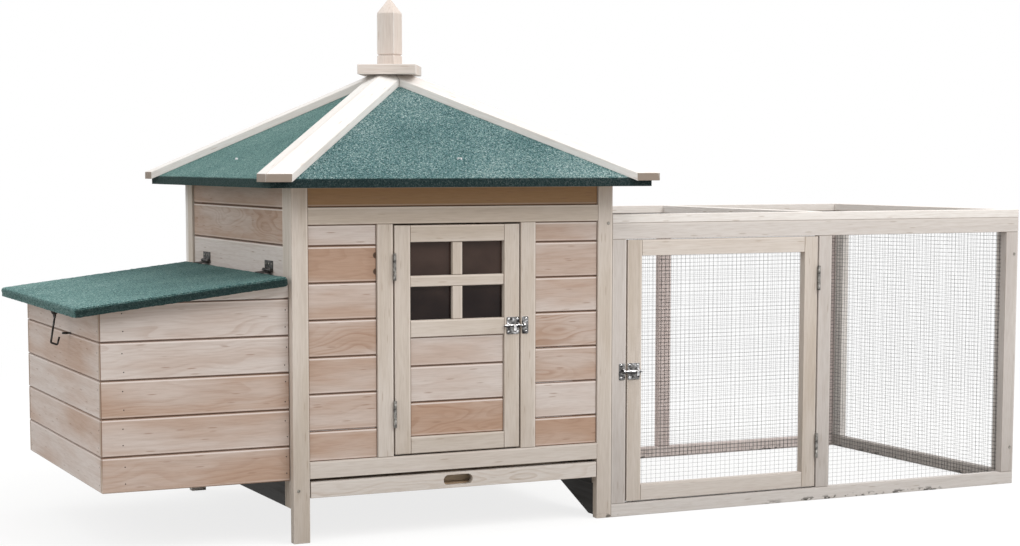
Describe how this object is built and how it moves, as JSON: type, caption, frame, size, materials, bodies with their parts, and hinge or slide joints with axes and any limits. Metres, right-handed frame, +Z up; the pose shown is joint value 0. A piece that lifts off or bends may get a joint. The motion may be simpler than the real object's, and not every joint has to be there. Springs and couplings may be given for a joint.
{
  "type": "chicken coop with run",
  "caption": "Timber chicken coop on legs: planked house under a felted hip roof with finial, lidded nest box, glazed door, pull-out tray and a netted run with its own door.",
  "frame": {"origin": "on the ground, in the middle of the whole coop's length and depth", "axes": "+X along the front from the nest box to the run, -Y out of the front, +Z up"},
  "size_m": [2.6002, 1.01, 1.2982],
  "materials": {
    "pale_fir": "planed, bare, pale",
    "fir_planks": "planed, bare, streaked",
    "roof_timber": "planed, bare, very pale",
    "plywood": "sanded sheet",
    "dark_timber": "stained dark",
    "green_felt": "mineral-surfaced felt",
    "galvanised_wire": "galvanised",
    "hinge_steel": "dull zinc",
    "bright_chrome": "bright plated",
    "dark_steel": "blackened wire",
    "screw_steel": "zinc",
    "smoky_pane": "smoked acrylic"
  },
  "bodies": {
    "coop": {"corner_posts": "pale_fir", "front_rails": "pale_fir", "door_frame_stiles": "pale_fir", "back_rails": "pale_fir", "left_wall_frame": "pale_fir", "right_wall_frame": "pale_fir", "roof_plates": "pale_fir", "run_front_frame": "pale_fir", "run_back_frame": "pale_fir", "run_end_frame": "pale_fir", "run_top_frame": "pale_fir", "nest_floor": "pale_fir", "nest_divider": "pale_fir", "perch": "pale_fir", "tray_runners": "pale_fir", "pop_door_guides": "pale_fir", "apex_block": "pale_fir", "front_planks": "fir_planks", "back_planks": "fir_planks", "left_wall_planks": "fir_planks", "right_wall_planks": "fir_planks", "nest_side_planks": "fir_planks", "nest_end_planks": "fir_planks", "hip_caps": "roof_timber", "finial_plate": "roof_timber", "finial_post": "roof_timber", "roof_boards": "plywood", "foot_braces": "dark_timber", "roof_felt_front": "green_felt", "roof_felt_right": "green_felt", "roof_felt_back": "green_felt", "roof_felt_left": "green_felt", "run_front_net": "galvanised_wire", "run_back_net": "galvanised_wire", "run_end_net": "galvanised_wire", "run_top_net": "galvanised_wire", "fixed_hinge_leaves": "hinge_steel", "bolt_keepers": "bright_chrome", "catch_eye": "dark_steel", "frame_screws": "screw_steel"},
    "house_door": {"door_frame": "pale_fir", "door_planks": "fir_planks", "glazing_bars": "pale_fir", "door_pane": "smoky_pane", "door_hinge_leaves": "hinge_steel", "door_bolt_plate": "bright_chrome"},
    "house_bolt": {"door_bolt": "bright_chrome"},
    "run_door": {"run_door_frame": "pale_fir", "run_door_net": "galvanised_wire", "run_door_hinge_leaves": "hinge_steel", "run_bolt_plate": "bright_chrome"},
    "run_bolt": {"run_bolt": "bright_chrome"},
    "nest_lid": {"lid_board": "plywood", "lid_felt_cover": "green_felt", "lid_hinge_leaves": "hinge_steel", "lid_eye": "dark_steel"},
    "lid_hook": {"lid_hook": "dark_steel"},
    "tray": {"tray_front": "pale_fir", "tray_board": "plywood"},
    "pop_door": {"pop_door": "fir_planks"}
  },
  "joints": [
    {"name": "house_door_hinge", "type": "hinge", "parent": "coop", "child": "house_door", "pos_m": [-0.54189, -0.4293, 0.465], "axis": [0, 0, -1], "range_deg": [0, 160]},
    {"name": "run_door_hinge", "type": "hinge", "parent": "coop", "child": "run_door", "pos_m": [0.64811, -0.4293, 0.363], "axis": [0, 0, 1], "range_deg": [0, 165]},
    {"name": "nest_lid_hinge", "type": "hinge", "parent": "coop", "child": "nest_lid", "pos_m": [-0.79419, 0, 0.62954], "axis": [0, 1, 0], "range_deg": [0, 65]},
    {"name": "tray_slide", "type": "slide", "parent": "coop", "child": "tray", "axis": [0, -1, 0], "range_m": [0, 0.6]},
    {"name": "pop_door_slide", "type": "slide", "parent": "coop", "child": "pop_door", "axis": [0, -1, 0], "range_m": [0, 0.27]},
    {"name": "house_bolt_slide", "type": "slide", "parent": "house_door", "child": "house_bolt", "axis": [1, 0, 0], "range_m": [0, 0.01]},
    {"name": "run_bolt_slide", "type": "slide", "parent": "run_door", "child": "run_bolt", "axis": [-1, 0, 0], "range_m": [0, 0.01]},
    {"name": "lid_hook_swing", "type": "hinge", "parent": "nest_lid", "child": "lid_hook", "pos_m": [-1.27449, -0.128, 0.53512], "axis": [0, 1, 0], "range_deg": [0, 85]}
  ]
}
